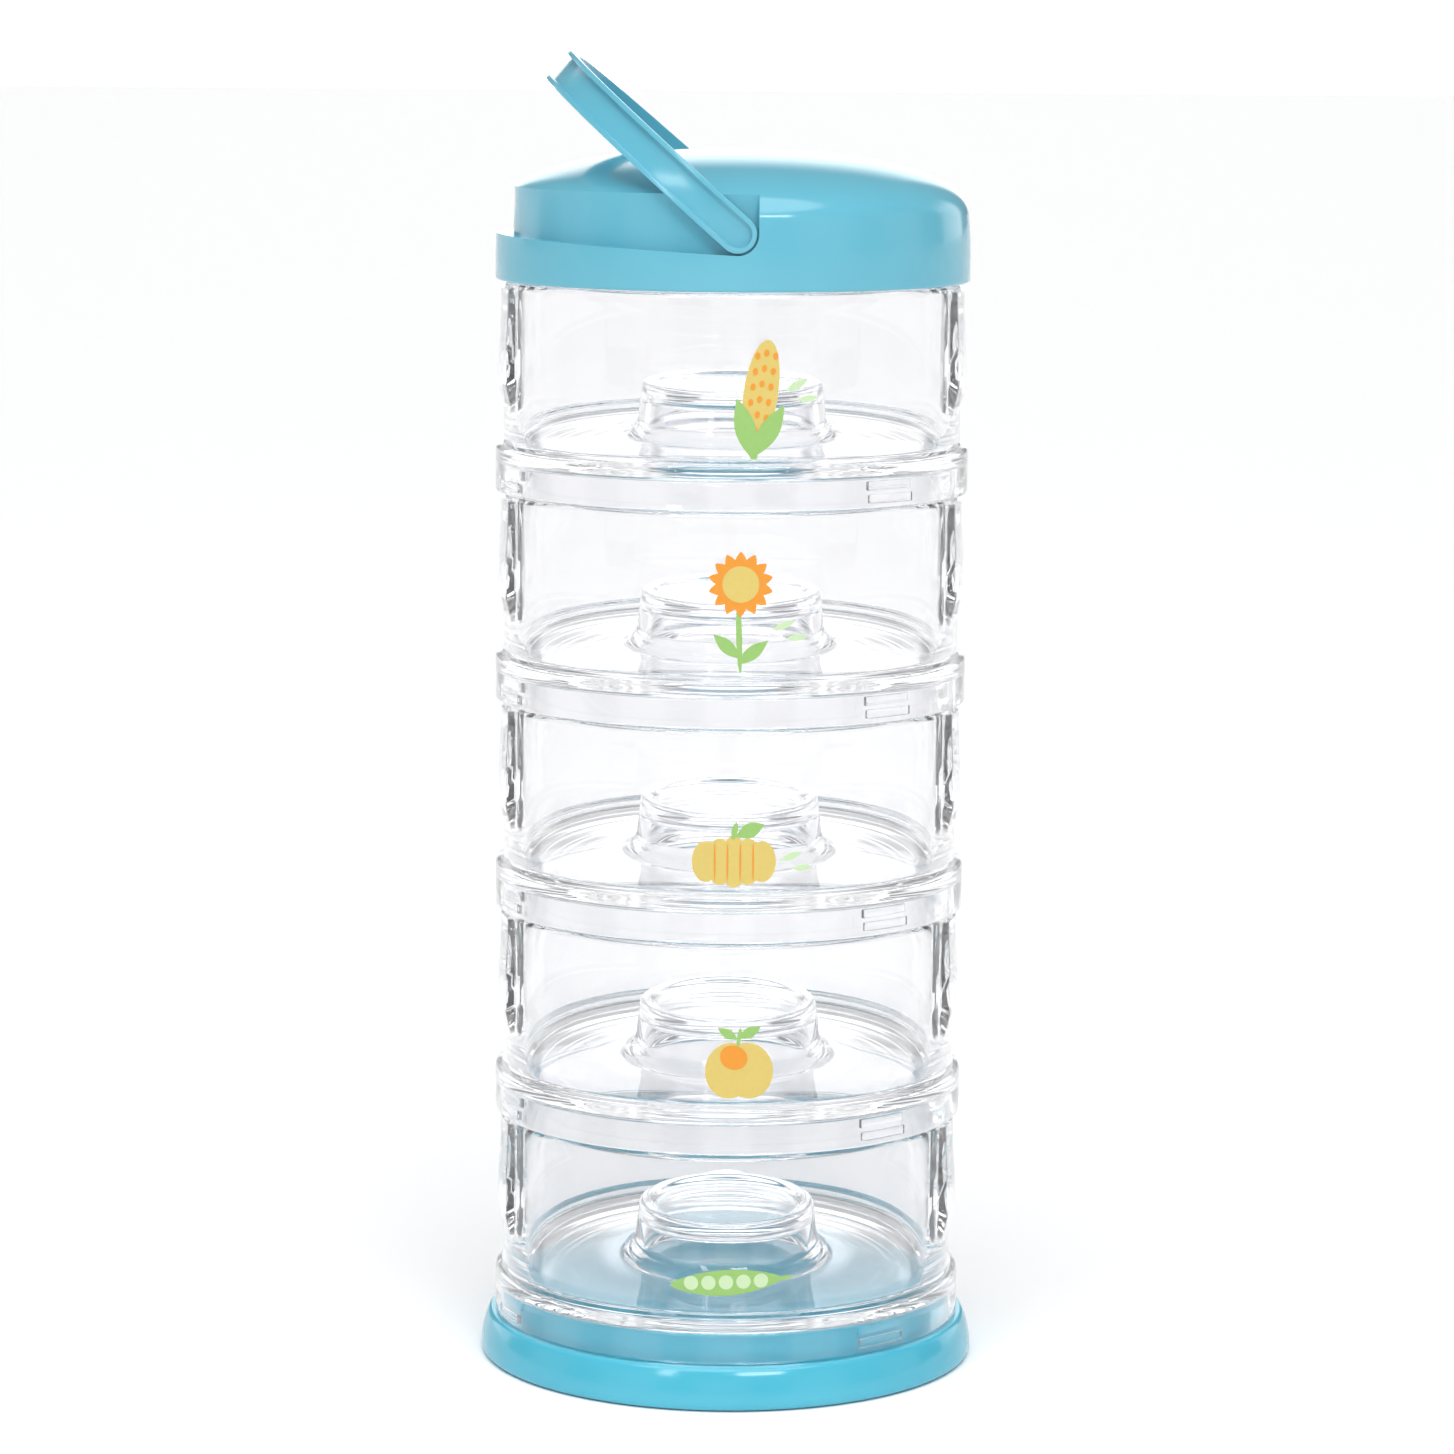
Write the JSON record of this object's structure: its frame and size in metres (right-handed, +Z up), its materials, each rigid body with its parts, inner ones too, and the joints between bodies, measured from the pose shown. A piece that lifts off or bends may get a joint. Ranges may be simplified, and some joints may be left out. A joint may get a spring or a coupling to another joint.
{
  "type": "formula dispenser",
  "caption": "Stack of clear round powder containers that twist-lock together, on a flared blue base, under a domed blue lid with a swinging carry handle.",
  "frame": {"origin": "centre of the flat underside of the base's foot", "axes": "+Z up the stack's axis, -Y is the front with the printed pictures, the folded handle lies on the -X side"},
  "size_m": [0.0848, 0.0848, 0.2232],
  "materials": {
    "base_blue": "glossy moulded polypropylene, sky blue",
    "clear_tier": "clear moulded polycarbonate, polished",
    "lid_blue": "glossy moulded polypropylene, sky blue",
    "handle_blue": "glossy moulded polypropylene, sky blue"
  },
  "bodies": {
    "base": {"base": "base_blue"},
    "container_1": {"container_1": "clear_tier"},
    "container_2": {"container_2": "clear_tier"},
    "container_3": {"container_3": "clear_tier"},
    "container_4": {"container_4": "clear_tier"},
    "container_5": {"container_5": "clear_tier"},
    "lid": {"lid": "lid_blue"},
    "handle": {"handle": "handle_blue"}
  },
  "joints": [
    {"name": "container_1_twist", "type": "hinge", "parent": "base", "child": "container_1", "pos_m": [0, 0, 0.007], "axis": [0, 0, 1], "range_deg": [0, 45]},
    {"name": "container_2_twist", "type": "hinge", "parent": "container_1", "child": "container_2", "pos_m": [0, 0, 0.0425], "axis": [0, 0, 1], "range_deg": [0, 45]},
    {"name": "container_3_twist", "type": "hinge", "parent": "container_2", "child": "container_3", "pos_m": [0, 0, 0.078], "axis": [0, 0, 1], "range_deg": [0, 45]},
    {"name": "container_4_twist", "type": "hinge", "parent": "container_3", "child": "container_4", "pos_m": [0, 0, 0.1135], "axis": [0, 0, 1], "range_deg": [0, 45]},
    {"name": "container_5_twist", "type": "hinge", "parent": "container_4", "child": "container_5", "pos_m": [0, 0, 0.149], "axis": [0, 0, 1], "range_deg": [0, 45]},
    {"name": "lid_twist", "type": "hinge", "parent": "container_5", "child": "lid", "pos_m": [0, 0, 0.1845], "axis": [0, 0, 1], "range_deg": [0, 45]},
    {"name": "handle_swing", "type": "hinge", "parent": "lid", "child": "handle", "pos_m": [0.0007, 0, 0.1941], "axis": [0, 1, 0], "range_deg": [-38.7, 48.5]}
  ]
}
